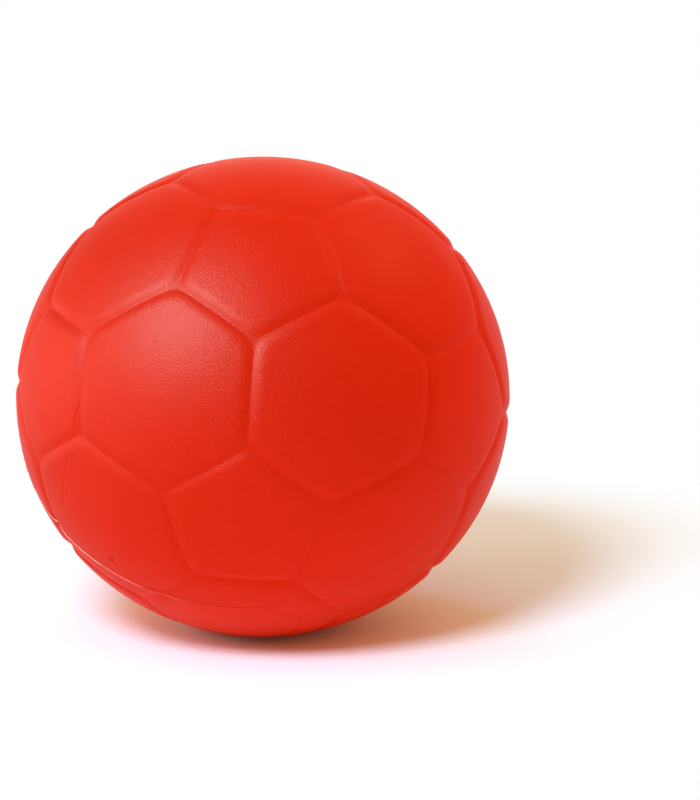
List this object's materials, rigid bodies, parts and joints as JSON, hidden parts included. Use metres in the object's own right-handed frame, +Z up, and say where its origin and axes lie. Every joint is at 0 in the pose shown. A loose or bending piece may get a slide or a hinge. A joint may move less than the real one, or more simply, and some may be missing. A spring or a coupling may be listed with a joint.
{
  "type": "foam soccer ball",
  "caption": "Soft moulded foam ball with a red grained skin, grooved pentagon and hexagon panels and a mould parting line, for play on a floor or field.",
  "frame": {"origin": "middle of the flat patch that the ball rests on", "axes": "+Z up, -Y towards the viewer of the picture, +X to the viewer's right"},
  "size_m": [0.1996, 0.2, 0.1938],
  "materials": {
    "pu_skin": "red polyurethane skin with a fine moulded grain, satin",
    "pu_foam": "soft red polyurethane foam with open cells, matt"
  },
  "bodies": {
    "root": {"foam_core": "pu_foam", "upper_skin_half": "pu_skin", "lower_skin_half": "pu_skin", "parting_flash": "pu_skin"}
  },
  "joints": []
}
